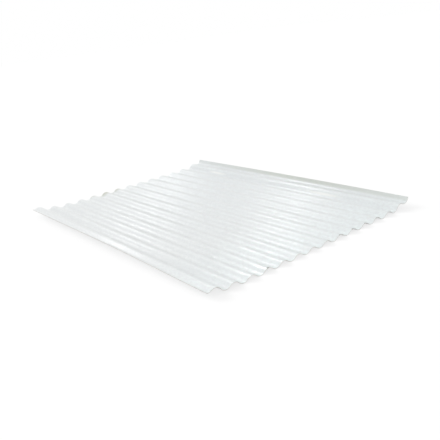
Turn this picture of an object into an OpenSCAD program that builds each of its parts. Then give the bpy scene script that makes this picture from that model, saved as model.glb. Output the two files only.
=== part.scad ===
// Corrugated roofing sheet of glass-reinforced plastic: one wavy sheet of even thickness.
// It lies on a level floor, with X along the waves, Y across them and Z up.
// The origin is on the floor, under the middle of the sheet.

/* [Sheet] */
// Length along the waves
sheet_length = 1500; // [300:10:3000]
// Thickness of the plastic
thickness = 1; // [0.6:0.1:3]
// Whole waves, from the trough that the near edge is cut along to the last trough
waves = 14; // [6:1:24]
// Length of the straight lip that rises from the last trough to the far edge
far_lip = 11; // [1:0.5:20]

/* [Waves] */
// Distance from crest to crest
pitch = 76; // [60:1:130]
// Height of a level wave, from the floor to the top of its crest
wave_height = 16; // [10:0.5:30]
// Length of the straight flank between the round of a trough and the round of a crest
flank_length = 8; // [1:0.5:14]
// Flat steps that draw each half of a round
round_steps = 6; // [3:1:16]

/* [Warp of the long edges] */
// Degrees that the near edge turns up at the first three troughs inside it, the outer one first
near_curl = [10, 4, 2]; // [0:0.5:12]
// Degrees that the far edge turns up at the last three troughs, the outer one first
far_curl = [10, 12, 3]; // [0:0.5:14]

/* [Hidden] */

// Depth of a wave, and the radius of its rounds, on the middle surface of the plastic
depth = wave_height - thickness;
flank_angle = 2 * atan2(depth, pitch / 2 + flank_length);
round_radius = (pitch / 2 - flank_length * cos(flank_angle)) / (2 * sin(flank_angle));

// The sheet turns at troughs, which have even numbers from the near edge, and at crests.
last_turn = 2 * waves;
function is_trough(turn) = turn % 2 == 0;

// Degrees that the warp adds to a turn, and the tilt of the half wave that follows it
function curl(turn) =
    turn == 2 ? near_curl[0] :
    turn == 4 ? near_curl[1] :
    turn == 6 ? near_curl[2] :
    turn == last_turn ? far_curl[0] :
    turn == last_turn - 2 ? far_curl[1] :
    turn == last_turn - 4 ? far_curl[2] : 0;
function tilt(turn) =
    turn == 0 ? -near_curl[0] - near_curl[1] - near_curl[2] : tilt(turn - 1) + curl(turn);

// A step in Y and Z, tilted
function tilted(step, angle) = [
    step[0] * cos(angle) - step[1] * sin(angle),
    step[0] * sin(angle) + step[1] * cos(angle)
];

// Centre of a turn's round: above the sheet at a trough and below it at a crest
function centre(turn) =
    let (drop = 2 * round_radius - depth)
    turn == 0 ? [0, 0] :
    centre(turn - 1) + tilted([pitch / 2, is_trough(turn) ? drop : -drop], tilt(turn - 1));

// Slopes of the sheet where a round begins and ends
function slope_in(turn) =
    turn == 0 ? tilt(0) : tilt(turn - 1) + (is_trough(turn) ? -flank_angle : flank_angle);
function slope_out(turn) = tilt(turn) + (is_trough(turn) ? flank_angle : -flank_angle);

// Points of a round and of the lip's end, on the surface that lies so far above the middle one
function round_points(turn, above) =
    let (middle = centre(turn), begin = slope_in(turn), swing = slope_out(turn) - begin)
    let (radius = is_trough(turn) ? above - round_radius : above + round_radius)
    [for (step = [0 : 2 * round_steps])
        middle + tilted([0, radius], begin + swing * step / (2 * round_steps))];
function lip_end(above) =
    centre(last_turn) + tilted([far_lip, above - round_radius], slope_out(last_turn));

// Outline of the section: the underside from edge to edge, then the top side back again
underside = [
    for (turn = [0 : last_turn]) each round_points(turn, -thickness / 2),
    lip_end(-thickness / 2)
];
top_side = [
    for (turn = [0 : last_turn]) each round_points(turn, thickness / 2),
    lip_end(thickness / 2)
];
outline = concat(underside, [for (i = [len(top_side) - 1 : -1 : 0]) top_side[i]]);

// Where the floor and the middle of the section's width are, under that outline
across = [for (point = outline) point[0]];
middle_across = (min(across) + max(across)) / 2;
floor_level = min([for (point = outline) point[1]]);

module section() {
    translate([-middle_across, -floor_level])
        polygon(outline);
}

// The sheet, drawn out to its length along the waves
module sheet() {
    color("#E6EAEB")
        rotate([90, 0, 90])
            linear_extrude(sheet_length, center = true)
                section();
}

sheet();
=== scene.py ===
"""A corrugated roofing sheet of pale glass-reinforced plastic, lying on a white studio floor."""
from math import atan2, cos, radians, sin

import bpy
from mathutils import Matrix, Quaternion, Vector


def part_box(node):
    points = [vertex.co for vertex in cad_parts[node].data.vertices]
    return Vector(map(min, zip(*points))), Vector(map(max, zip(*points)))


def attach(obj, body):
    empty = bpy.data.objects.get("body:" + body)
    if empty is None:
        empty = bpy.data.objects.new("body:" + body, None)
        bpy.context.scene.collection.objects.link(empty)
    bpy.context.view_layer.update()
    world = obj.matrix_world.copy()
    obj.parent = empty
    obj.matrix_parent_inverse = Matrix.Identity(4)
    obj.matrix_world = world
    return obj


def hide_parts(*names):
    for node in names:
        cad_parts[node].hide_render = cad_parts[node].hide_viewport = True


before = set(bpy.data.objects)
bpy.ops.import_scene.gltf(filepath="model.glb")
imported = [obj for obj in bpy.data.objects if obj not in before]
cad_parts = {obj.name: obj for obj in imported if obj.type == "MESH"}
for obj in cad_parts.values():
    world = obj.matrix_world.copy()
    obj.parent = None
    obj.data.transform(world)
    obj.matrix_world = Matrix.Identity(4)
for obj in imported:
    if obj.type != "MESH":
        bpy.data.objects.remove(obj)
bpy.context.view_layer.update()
sheet_low, sheet_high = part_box("sheet")

MM = 0.001

# ---- sizes of the sheet, in metres and degrees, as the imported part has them

THICKNESS = 1 * MM
PITCH = 76 * MM
DEPTH = 15 * MM
FLANK_LENGTH = 8 * MM
FAR_LIP = 11 * MM
WAVES = 14
LEVEL_CREST = 26.812 * MM
LEVEL_CREST_NUMBER = 8
LAST_TURN = 2 * WAVES
# Degrees that the warp adds at the troughs near each long edge. Turns are counted from the near edge, where
# troughs have even numbers and crests have odd ones
NEAR_CURLS = {2: 10, 4: 4, 6: 2}
FAR_CURLS = {LAST_TURN - 4: 3, LAST_TURN - 2: 12, LAST_TURN: 10}
CURLS = {**NEAR_CURLS, **FAR_CURLS}

# Steps of the mesh: cells along the sheet, and facets in each round
CELLS_ALONG = 72
ROUND_STEPS = 20
# Vertices nearer than this are merged, and edges that turn less than these degrees are smooth
MERGE_DISTANCE = 0.01 * MM
SMOOTH_ANGLE = 40

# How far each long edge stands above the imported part's edge, at even places from the left end to the right,
# and the width of sheet that the lift fades out over, in waves
NEAR_EDGE_LIFT = [lift * MM for lift in (2.4, 2.5, 2.8, 3.8, 2.2, -3.0, -8.4)]
FAR_EDGE_LIFT = [lift * MM for lift in (-2.8, -1.8, 0, 0, 0, -0.3, -3.0)]
LIFTED_WAVES = 3

# ---- finishes

# Stains at the left ends of crests, and painted shade under the crests at the right end: the crest, counted
# from the near edge, the reach of the stain or shade in mm, and its share
STAINS_LEFT = ((5, 30, 0.45), (6, 52, 0.95), (7, 40, 0.8))
PAINTED_SHADE_RIGHT_CRESTS = ((1, 7, 0.8), (4, 9, 0.95), (9, 6, 0.7), (10, 7, 0.8), (11, 6, 0.7), (12, 6, 0.7))
# Painted highlights, drawn as pale streaks on the flank under the lip: the middle of each along the sheet and
# its reach each way, in mm
PAINTED_HIGHLIGHTS = ((-475, 95), (335, 135))
PAINTED_HIGHLIGHT_HEIGHT = 16 * MM
PAINTED_HIGHLIGHT_WIDTH = 6 * MM
PAINTED_HIGHLIGHT_ROW = 465.5 * MM
PAINTED_HIGHLIGHT_SHARE = 0.75
# How far out from its middle, of its whole reach, a stain, a patch of painted shade or a painted highlight
# keeps its full colour
MARK_CORE = 0.3

# The body's tone at the near edge, the right end and the far edge, and the tone of thick spots of strand,
# which is also painted on the crests as shade
FRONT_BODY = "#F5F8F7"
RIGHT_BODY = "#F6FEFE"
BACK_BODY = "#ECF1F2"
STRAND_AND_CREST_SHADE = "#E4E7E8"
# Where along the sheet the tone of its right end begins, and between which heights above the floor the body
# darkens towards the strand tone: painted shade on the crests, standing in for the floor's light that shows
# through the troughs
RIGHT_TONE_START = 0.35
CREST_SHADE_RISE = (2 * MM, 9 * MM)
# Painted shade on the far lip, which is complete and ends so far in from the edge. It is darkest a little
# right of the middle, and thins out over these distances from there, between these shares
LIP_SHADE = "#D4D8D2"
LIP_SHADE_BAND = (8 * MM, 15 * MM)
DARKEST_LIP_PLACE = 0.15
LIP_SHADE_THINS = (0.1, 0.85)
LIP_SHADE_SHARES = (1.0, 0.3)
# The stains at the left end, the painted shade under the crests at the right end, the painted highlights
# under the lip, and the lightest and darkest of the cut edges
STAIN_LEFT = "#C6C9BC"
PAINTED_SHADE_UNDER_CRESTS = "#2C2E22"
PAINTED_HIGHLIGHT = "#FEFFFC"
EDGE_DARK = "#857D6A"
EDGE_LIGHT = "#B5AD9A"
# Patterns, each with the length of its grains along the waves and their width across them, in mm.
# Strands are about 1 mm thick; they are drawn 8 mm wide, because thinner ones don't show
PATTERNS = {"strands": (14, 8), "clouds": (60, 40), "draw_marks": (160, 9), "pimples": (9, 5)}
# Relief of the skin, in mm between the lowest and the highest of each pattern
RELIEF = {"draw_marks": 1.0, "pimples": 0.15, "clouds": 0.4}
# Gloss of the skin: its roughness from clear to cloudy spots, its index of refraction, how far the draw marks
# stretch its highlights, the quarter turn that lays the stretch across them, and the light that goes through
SKIN_ROUGHNESS = (0.28, 0.31)
POLYESTER_IOR = 1.55
HIGHLIGHT_STRETCH = 0.85
QUARTER_TURN = 0.25
LIGHT_THROUGH = 0.05
# The cut edges: the size of their chips, and their roughness
CHIP_SIZE = 12 * MM
SAWN_ROUGHNESS = 0.7

# ---- camera and light, in metres and degrees

# The camera: the spot it looks at, its distance from there, where it stands round the sheet and above the
# floor, how far it is tipped, and its sensor and lens in mm
CAMERA_TARGET = (0.16331, -0.02697, 0)
CAMERA_DISTANCE = 2.57293
CAMERA_AZIMUTH = 53.624
CAMERA_ELEVATION = 18.911
CAMERA_ROLL = -7.043
SENSOR_WIDTH = 36
LENS = 46.626

# The world's level as a light. The floor's side, the colour that it reflects light in, and the colour and
# glow that together make it white to the eye
WORLD_LEVEL = 0.935
FLOOR_SIZE = 60
PAPER_LIT = "#F0F0F0"
PAPER_SEEN = "#767676"
FLOOR_GLOW = 0.755
# The suns: strength, where each shines from, and how wide it is. The low one throws the sheet's soft shadow
# on the floor, and the weak one in front shades the flanks behind the crests
FLOOR_SUN = (6.2, (-0.85, -0.30, 0.27), 45)
FRONT_SUN = (0.22, (-0.45, -0.75, 0.5), 20)
# The softboxes: place, sides across and along the waves, and watts. Those at the left and the back draw the
# bands of light across the waves. The others give the gloss a light when it is seen from behind or above
SOFTBOXES = {
    "left_softbox": ((-13.50, 1.60, 8.60), 1.2, 0.4, 88),
    "back_softbox": ((-5.20, 1.60, 5.80), 0.6, 0.3, 34),
    "right_softbox": ((5.20, -1.60, 5.80), 0.6, 0.5, 20),
    "front_softbox": ((0, -3.00, 7.00), 0.6, 1.2, 40),
}
# The dark panels, beside the bands of light: place, sides across and along the waves, and glow in the middle
DARK_PANELS = {
    "left_dark_panel": ((-6.82, 4.04, 0.95), 1.8, 1.6, 0.0),
    "back_dark_panel": ((-4.96, 6.08, 1.52), 2.9, 2.1, 0.1),
}
# How far from its middle, as a share of its sides, a panel keeps that glow, and where it has faded out
PANEL_CORE = 0.2
PANEL_RIM = 0.5

flank_angle = 2 * atan2(DEPTH, PITCH / 2 + FLANK_LENGTH)
round_radius = (PITCH / 2 - FLANK_LENGTH * cos(flank_angle)) / (2 * sin(flank_angle))


def crest_place(wave):
    """Where across the sheet a crest stands, counted from 1 at the near edge."""
    return LEVEL_CREST + (wave - LEVEL_CREST_NUMBER) * PITCH


# ---- small helpers

def linear(hex_colour):
    """An sRGB hex colour as linear RGBA."""
    channels = [int(hex_colour[i:i + 2], 16) / 255 for i in (1, 3, 5)]
    return [c / 12.92 if c <= 0.04045 else ((c + 0.055) / 1.055) ** 2.4 for c in channels] + [1.0]


def add_node(tree, kind, values=None, **settings):
    """Adds a node. values maps an input to a number, a colour or another node's output."""
    node = tree.nodes.new(kind)
    for name, setting in settings.items():
        setattr(node, name, setting)
    for name, value in (values or {}).items():
        if isinstance(value, bpy.types.NodeSocket):
            tree.links.new(value, node.inputs[name])
        else:
            node.inputs[name].default_value = value
    return node


def new_material(name):
    material = bpy.data.materials.new(name)
    material.use_nodes = True
    material.node_tree.nodes.clear()
    return material, material.node_tree


# ---- camera, at the height and side that the sheet is looked at from

def add_camera():
    data = bpy.data.cameras.new("camera")
    data.sensor_width = SENSOR_WIDTH
    data.lens = LENS
    camera = bpy.data.objects.new("camera", data)
    bpy.context.scene.collection.objects.link(camera)
    azimuth, elevation = radians(CAMERA_AZIMUTH), radians(CAMERA_ELEVATION)
    back = Vector((sin(azimuth) * cos(elevation), -cos(azimuth) * cos(elevation), sin(elevation)))
    camera.location = Vector(CAMERA_TARGET) + back * CAMERA_DISTANCE
    camera.rotation_mode = "QUATERNION"
    camera.rotation_quaternion = back.to_track_quat("Z", "Y") @ Quaternion((0, 0, 1), radians(CAMERA_ROLL))
    bpy.context.scene.camera = camera


# ---- the sheet

def select_edges(keep):
    """In edit mode, selects only the edges whose two ends both pass the test."""
    bpy.ops.mesh.select_all(action="DESELECT")
    bpy.ops.object.mode_set(mode="OBJECT")
    mesh = bpy.context.object.data
    for edge in mesh.edges:
        edge.select = all(keep(mesh.vertices[v].co) for v in edge.vertices)
    bpy.ops.object.mode_set(mode="EDIT")


def model_sheet():
    """Walks from the far lip back to the near edge: each flank is extruded and each round is spun."""
    slope = flank_angle + radians(sum(FAR_CURLS.values()))
    lip_end = Vector((
        0, sheet_high.y - THICKNESS / 2 * sin(slope), sheet_high.z - THICKNESS / 2 * cos(slope)))
    back = Vector((0, -cos(slope), -sin(slope)))
    middle = lip_end + back * FAR_LIP / 2

    bpy.ops.object.select_all(action="DESELECT")
    bpy.ops.mesh.primitive_grid_add(x_subdivisions=CELLS_ALONG, y_subdivisions=1, size=1,
                                    location=middle, rotation=(slope, 0, 0))
    sheet = bpy.context.object
    sheet.name = "corrugated_sheet"
    sheet.scale = (sheet_high.x - sheet_low.x, FAR_LIP, 1)
    bpy.ops.object.transform_apply(location=True, rotation=True, scale=True)

    bpy.ops.object.mode_set(mode="EDIT")
    bpy.ops.mesh.select_mode(type="EDGE")
    select_edges(lambda co: co.y < middle.y)
    place = lip_end + back * FAR_LIP
    for turn in range(LAST_TURN, -1, -1):
        is_trough = turn % 2 == 0
        swing = 2 * flank_angle + radians(CURLS.get(turn, 0)) if is_trough else -2 * flank_angle
        if turn == 0:
            swing = flank_angle
        up = Vector((0, -sin(slope), cos(slope)))
        centre = place + up * (round_radius if is_trough else -round_radius)
        bpy.ops.mesh.spin(steps=ROUND_STEPS // (1 if turn else 2), angle=swing, center=centre, axis=(1, 0, 0))
        turned = Quaternion((-1, 0, 0), swing)
        place = centre + turned @ (place - centre)
        slope -= swing
        if turn:
            step = Vector((0, -cos(slope), -sin(slope))) * FLANK_LENGTH
            bpy.ops.mesh.extrude_region_move(TRANSFORM_OT_translate={"value": step})
            place += step
    bpy.ops.mesh.select_all(action="SELECT")
    bpy.ops.mesh.remove_doubles(threshold=MERGE_DISTANCE)
    bpy.ops.mesh.normals_make_consistent(inside=False)
    bpy.ops.object.mode_set(mode="OBJECT")
    return sheet


def between(values, share):
    """The value at a share, 0 to 1, of the way along evenly spaced values."""
    place = share * (len(values) - 1)
    first = min(int(place), len(values) - 2)
    return values[first] + (values[first + 1] - values[first]) * (place - first)


def warp(sheet):
    """Lets both long edges rise and sag along their length, with a lattice round the whole sheet."""
    size = sheet_high - sheet_low
    bpy.ops.object.select_all(action="DESELECT")
    bpy.ops.object.add(type="LATTICE", location=(sheet_low + sheet_high) / 2)
    lattice = bpy.context.object
    lattice.scale = size
    lattice.data.points_u = len(NEAR_EDGE_LIFT)
    lattice.data.points_v = WAVES + 1
    lattice.data.points_w = 2
    reach = LIFTED_WAVES * PITCH / size.y
    for point in lattice.data.points:
        along, across = point.co.x + 0.5, point.co.y + 0.5
        near_share = max(0, 1 - across / reach) ** 2
        far_share = max(0, 1 - (1 - across) / reach) ** 2
        lift = near_share * between(NEAR_EDGE_LIFT, along) + far_share * between(FAR_EDGE_LIFT, along)
        point.co_deform.z += lift / size.z
    lattice.data.interpolation_type_v = "KEY_CATMULL_ROM"
    modifier = sheet.modifiers.new("warp", "LATTICE")
    modifier.object = lattice
    bpy.context.view_layer.objects.active = sheet
    bpy.ops.object.modifier_apply(modifier=modifier.name)
    bpy.data.objects.remove(lattice)


def thicken(sheet):
    """Gives the sheet its thickness; the cut edges all round get the second material."""
    modifier = sheet.modifiers.new("thickness", "SOLIDIFY")
    modifier.thickness = THICKNESS
    modifier.offset = 0
    modifier.use_even_offset = True
    modifier.material_offset_rim = 1
    bpy.context.view_layer.objects.active = sheet
    sheet.select_set(True)
    bpy.ops.object.modifier_apply(modifier=modifier.name)
    bpy.ops.object.shade_smooth_by_angle(angle=radians(SMOOTH_ANGLE))


def lay_out(sheet):
    """Gives the sheet a flat layout that runs along the waves, which the grain of its gloss follows."""
    layout = sheet.data.uv_layers.active.data
    for loop in sheet.data.loops:
        place = sheet.data.vertices[loop.vertex_index].co
        layout[loop.index].uv = place.x, place.y


def seat(sheet):
    """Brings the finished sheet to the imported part's box: thickness adds a hair to the warped edges."""
    low = Vector([min(v.co[i] for v in sheet.data.vertices) for i in range(3)])
    high = Vector([max(v.co[i] for v in sheet.data.vertices) for i in range(3)])
    sheet.scale = [min(1, (sheet_high[i] - sheet_low[i]) / (high[i] - low[i])) for i in range(3)]
    sheet.location = [sheet_low[i] - low[i] * sheet.scale[i] for i in range(3)]
    bpy.ops.object.transform_apply(location=True, rotation=True, scale=True)


# ---- materials

def glass_reinforced_plastic():
    """Polyester resin round chopped glass strands, rolled between films and drawn lengthwise: a glossy skin
    with long shallow draw marks, over a milky body that lets light through without a view."""
    material, tree = new_material("milky_glass_reinforced_polyester")
    place = add_node(tree, "ShaderNodeTexCoord").outputs["Object"]
    along, across, height_above = add_node(tree, "ShaderNodeSeparateXYZ", {0: place}).outputs

    patterns = {}
    for name, (length, width) in PATTERNS.items():
        grains = add_node(tree, "ShaderNodeVectorMath", {
            0: place, 1: (1 / (length * MM), 1 / (width * MM), 1 / (width * MM))}, operation="MULTIPLY")
        patterns[name] = add_node(tree, "ShaderNodeTexNoise", {
            "Vector": grains.outputs[0], "Scale": 1.0, "Detail": 3.0, "Roughness": 0.5}).outputs[0]

    # Share of painted shade on the far lip, darkest a little right of the middle
    off_middle = add_node(tree, "ShaderNodeMath", {0: along, 1: DARKEST_LIP_PLACE}, operation="SUBTRACT")
    off_middle = add_node(tree, "ShaderNodeMath", {0: off_middle.outputs[0]}, operation="ABSOLUTE")
    lip_shade_share = add_node(tree, "ShaderNodeMapRange", {
        "Value": off_middle.outputs[0], "From Min": LIP_SHADE_THINS[0], "From Max": LIP_SHADE_THINS[1],
        "To Min": LIP_SHADE_SHARES[0], "To Max": LIP_SHADE_SHARES[1]})

    # Layers of colour: what each follows, where it starts and is complete, its share at both, and its colour.
    # The body is a little darker and bluer at the far edge, and lighter and more blue-green at the right end,
    # with painted shade that darkens the crests as they rise from the floor, thick and thin spots of strand,
    # and painted shade on the far lip
    layers = [
        (across, sheet_low.y, sheet_high.y, 0.0, 1.0, BACK_BODY),
        (along, RIGHT_TONE_START, sheet_high.x, 0.0, 1.0, RIGHT_BODY),
        # Painted shade: the crests turn towards the strand tone as they rise from the floor
        (height_above, *CREST_SHADE_RISE, 0.0, 0.35, STRAND_AND_CREST_SHADE),
        (patterns["strands"], 0.4, 0.6, 0.0, 0.6, STRAND_AND_CREST_SHADE),
        (patterns["clouds"], 0.35, 0.65, 0.0, 0.3, STRAND_AND_CREST_SHADE),
        (across, sheet_high.y - LIP_SHADE_BAND[1], sheet_high.y - LIP_SHADE_BAND[0], 0.0, lip_shade_share.outputs[0], LIP_SHADE)]

    # Stains, painted shade and painted highlights: the middle of each, its reach along, across and up, its
    # share, and its colour
    # Stains at the left end; painted shade under the crests at the right end
    ends = ((sheet_low.x, STAINS_LEFT, STAIN_LEFT), (sheet_high.x, PAINTED_SHADE_RIGHT_CRESTS, PAINTED_SHADE_UNDER_CRESTS))
    marks = [((end, crest_place(wave), THICKNESS + DEPTH), (reach * MM,) * 3, share, tone)
             for end, stains_and_shade, tone in ends
             for wave, reach, share in stains_and_shade]
    # Painted highlights: pale streaks on the flank under the lip
    marks += [((middle * MM, PAINTED_HIGHLIGHT_ROW, PAINTED_HIGHLIGHT_HEIGHT), (reach * MM, PAINTED_HIGHLIGHT_WIDTH, PITCH),
               PAINTED_HIGHLIGHT_SHARE, PAINTED_HIGHLIGHT)
              for middle, reach in PAINTED_HIGHLIGHTS]
    for centre, reach, share, tone in marks:
        away = add_node(tree, "ShaderNodeMapping", {"Vector": place, "Location": centre, "Scale": reach},
                        vector_type="TEXTURE")
        away = add_node(tree, "ShaderNodeVectorMath", {0: away.outputs[0]}, operation="LENGTH")
        layers.append((away.outputs["Value"], MARK_CORE, 1.0, share, 0.0, tone))
    colour = linear(FRONT_BODY)
    for follows, start, complete, first_share, last_share, tone in layers:
        share = add_node(tree, "ShaderNodeMapRange", {
            "Value": follows, "From Min": start, "From Max": complete,
            "To Min": first_share, "To Max": last_share})
        colour = add_node(tree, "ShaderNodeMix", {"Factor": share.outputs[0], "A": colour, "B": linear(tone)},
                          data_type="RGBA").outputs["Result"]

    # Relief of the skin, in metres
    height = 0.0
    for name, depth in RELIEF.items():
        height = add_node(tree, "ShaderNodeMath", {0: patterns[name], 1: depth * MM, 2: height},
                          operation="MULTIPLY_ADD").outputs[0]
    relief = add_node(tree, "ShaderNodeBump", {"Height": height, "Distance": 1.0, "Strength": 1.0})
    dullness = add_node(tree, "ShaderNodeMapRange", {
        "Value": patterns["clouds"], "From Min": 0.3, "From Max": 0.7,
        "To Min": SKIN_ROUGHNESS[0], "To Max": SKIN_ROUGHNESS[1]})
    lengthwise = add_node(tree, "ShaderNodeTangent", direction_type="UV_MAP")
    body = add_node(tree, "ShaderNodeBsdfPrincipled", {
        "Base Color": colour, "Roughness": dullness.outputs[0], "IOR": POLYESTER_IOR,
        "Transmission Weight": LIGHT_THROUGH, "Anisotropic": HIGHLIGHT_STRETCH,
        "Anisotropic Rotation": QUARTER_TURN, "Tangent": lengthwise.outputs[0], "Normal": relief.outputs[0]})
    add_node(tree, "ShaderNodeOutputMaterial", {"Surface": body.outputs[0]})
    return material


def cut_edge():
    """The sawn edge of the same sheet: dull and dark, because light is lost in the depth of the sheet and
    dust sits between the broken strands."""
    material, tree = new_material("sawn_glass_reinforced_polyester")
    place = add_node(tree, "ShaderNodeTexCoord").outputs["Object"]
    chips = add_node(tree, "ShaderNodeTexNoise", {"Vector": place, "Scale": 1 / CHIP_SIZE}).outputs[0]
    share = add_node(tree, "ShaderNodeMapRange", {"Value": chips, "From Min": 0.35, "From Max": 0.65})
    colour = add_node(tree, "ShaderNodeMix", {
        "Factor": share.outputs[0], "A": linear(EDGE_DARK), "B": linear(EDGE_LIGHT)},
                      data_type="RGBA").outputs["Result"]
    body = add_node(tree, "ShaderNodeBsdfPrincipled", {"Base Color": colour, "Roughness": SAWN_ROUGHNESS})
    add_node(tree, "ShaderNodeOutputMaterial", {"Surface": body.outputs[0]})
    return material


# ---- studio

def white_to_the_eye(tree):
    """1 for rays that show a surface to the eye, straight, mirrored or through the sheet; 0 for light."""
    path = add_node(tree, "ShaderNodeLightPath").outputs
    seen = add_node(tree, "ShaderNodeMath", {0: path["Is Camera Ray"], 1: path["Is Glossy Ray"]},
                    operation="MAXIMUM")
    return add_node(tree, "ShaderNodeMath", {0: seen.outputs[0], 1: path["Is Transmission Ray"]},
                    operation="MAXIMUM").outputs[0]


def add_world():
    world = bpy.data.worlds.new("studio")
    bpy.context.scene.world = world
    world.use_nodes = True
    tree = world.node_tree
    tree.nodes.clear()
    level = add_node(tree, "ShaderNodeMix", {"Factor": white_to_the_eye(tree), "A": WORLD_LEVEL, "B": 1.0})
    background = add_node(tree, "ShaderNodeBackground", {"Color": (1, 1, 1, 1), "Strength": level.outputs[0]})
    add_node(tree, "ShaderNodeOutputWorld", {"Surface": background.outputs[0]})
    # The light is the same from all round, so it isn't aimed at like a lamp
    world.cycles.sampling_method = "NONE"


def add_floor():
    bpy.ops.object.select_all(action="DESELECT")
    bpy.ops.mesh.primitive_plane_add(size=FLOOR_SIZE)
    floor = bpy.context.object
    floor.name = "studio_floor"
    material, tree = new_material("white_paper")
    seen = white_to_the_eye(tree)
    paper = add_node(tree, "ShaderNodeMix", {"Factor": seen, "A": linear(PAPER_LIT), "B": linear(PAPER_SEEN)},
                     data_type="RGBA").outputs["Result"]
    matt = add_node(tree, "ShaderNodeBsdfDiffuse", {"Color": paper})
    strength = add_node(tree, "ShaderNodeMath", {0: seen, 1: FLOOR_GLOW}, operation="MULTIPLY")
    glow = add_node(tree, "ShaderNodeEmission", {"Color": (1, 1, 1, 1), "Strength": strength.outputs[0]})
    both = add_node(tree, "ShaderNodeAddShader", {0: matt.outputs[0], 1: glow.outputs[0]})
    add_node(tree, "ShaderNodeOutputMaterial", {"Surface": both.outputs[0]})
    # The glow is for the eye, so it isn't aimed at like a lamp
    material.cycles.emission_sampling = "NONE"
    floor.data.materials.append(material)
    return floor


def add_sun(name, strength, shines_from, angle, lit_object):
    """A soft sun that lights one object and nothing else, and shows in no reflection."""
    data = bpy.data.lights.new(name, "SUN")
    data.energy = strength
    data.angle = radians(angle)
    data.cycles.max_bounces = 0
    sun = bpy.data.objects.new(name, data)
    bpy.context.scene.collection.objects.link(sun)
    sun.rotation_euler = Vector(shines_from).to_track_quat("Z", "Y").to_euler()
    sun.visible_glossy = sun.visible_transmission = False
    lit = bpy.data.collections.new("lit_by_" + name)
    lit.objects.link(lit_object)
    sun.light_linking.receiver_collection = lit


def add_softbox(name, place, across_waves, along_waves, watts):
    """An area lamp that only gloss shows. It faces the middle of the sheet, with one pair of sides square to
    the waves."""
    data = bpy.data.lights.new(name, "AREA")
    data.shape = "RECTANGLE"
    data.size, data.size_y = along_waves, across_waves
    data.energy = watts
    lamp = bpy.data.objects.new(name, data)
    bpy.context.scene.collection.objects.link(lamp)
    away = Vector(place).normalized()
    across = Vector((1, 0, 0)).cross(away).normalized()
    lamp.matrix_world = Matrix((across.cross(away), across, away)).transposed().to_4x4()
    lamp.location = place
    lamp.visible_camera = lamp.visible_diffuse = lamp.visible_transmission = False


def add_panel(name, place, across_waves, along_waves, glow):
    """A panel that only the sheet's gloss shows. It faces the middle of the sheet, with one pair of sides
    square to the waves, and its glow fades into the level of the world around it."""
    bpy.ops.object.select_all(action="DESELECT")
    bpy.ops.mesh.primitive_plane_add(size=1)
    panel = bpy.context.object
    panel.name = name
    away = Vector(place).normalized()
    across = Vector((1, 0, 0)).cross(away).normalized()
    panel.matrix_world = Matrix((across.cross(away), across, away)).transposed().to_4x4()
    panel.location = place
    panel.scale = (along_waves, across_waves, 1)
    material, tree = new_material(name)
    place_on_panel = add_node(tree, "ShaderNodeTexCoord").outputs["Object"]
    off_centre = add_node(tree, "ShaderNodeVectorMath", {0: place_on_panel}, operation="LENGTH")
    strength = add_node(tree, "ShaderNodeMapRange", {
        "Value": off_centre.outputs["Value"], "From Min": PANEL_CORE, "From Max": PANEL_RIM,
        "To Min": glow, "To Max": 1.0}, interpolation_type="SMOOTHSTEP")
    light = add_node(tree, "ShaderNodeEmission", {"Color": (1, 1, 1, 1), "Strength": strength.outputs[0]})
    add_node(tree, "ShaderNodeOutputMaterial", {"Surface": light.outputs[0]})
    material.cycles.emission_sampling = "NONE"
    panel.data.materials.append(material)
    panel.visible_camera = panel.visible_diffuse = panel.visible_shadow = panel.visible_transmission = False


# ---- making it all

add_camera()
add_world()
add_sun("floor_sun", *FLOOR_SUN, add_floor())
for softbox, settings in SOFTBOXES.items():
    add_softbox(softbox, *settings)
for panel, settings in DARK_PANELS.items():
    add_panel(panel, *settings)

sheet = model_sheet()
warp(sheet)
for material in (glass_reinforced_plastic(), cut_edge()):
    sheet.data.materials.append(material)
thicken(sheet)
seat(sheet)
lay_out(sheet)
add_sun("front_sun", *FRONT_SUN, sheet)
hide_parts("sheet")
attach(sheet, "root")

bpy.context.scene.view_settings.view_transform = "Standard"
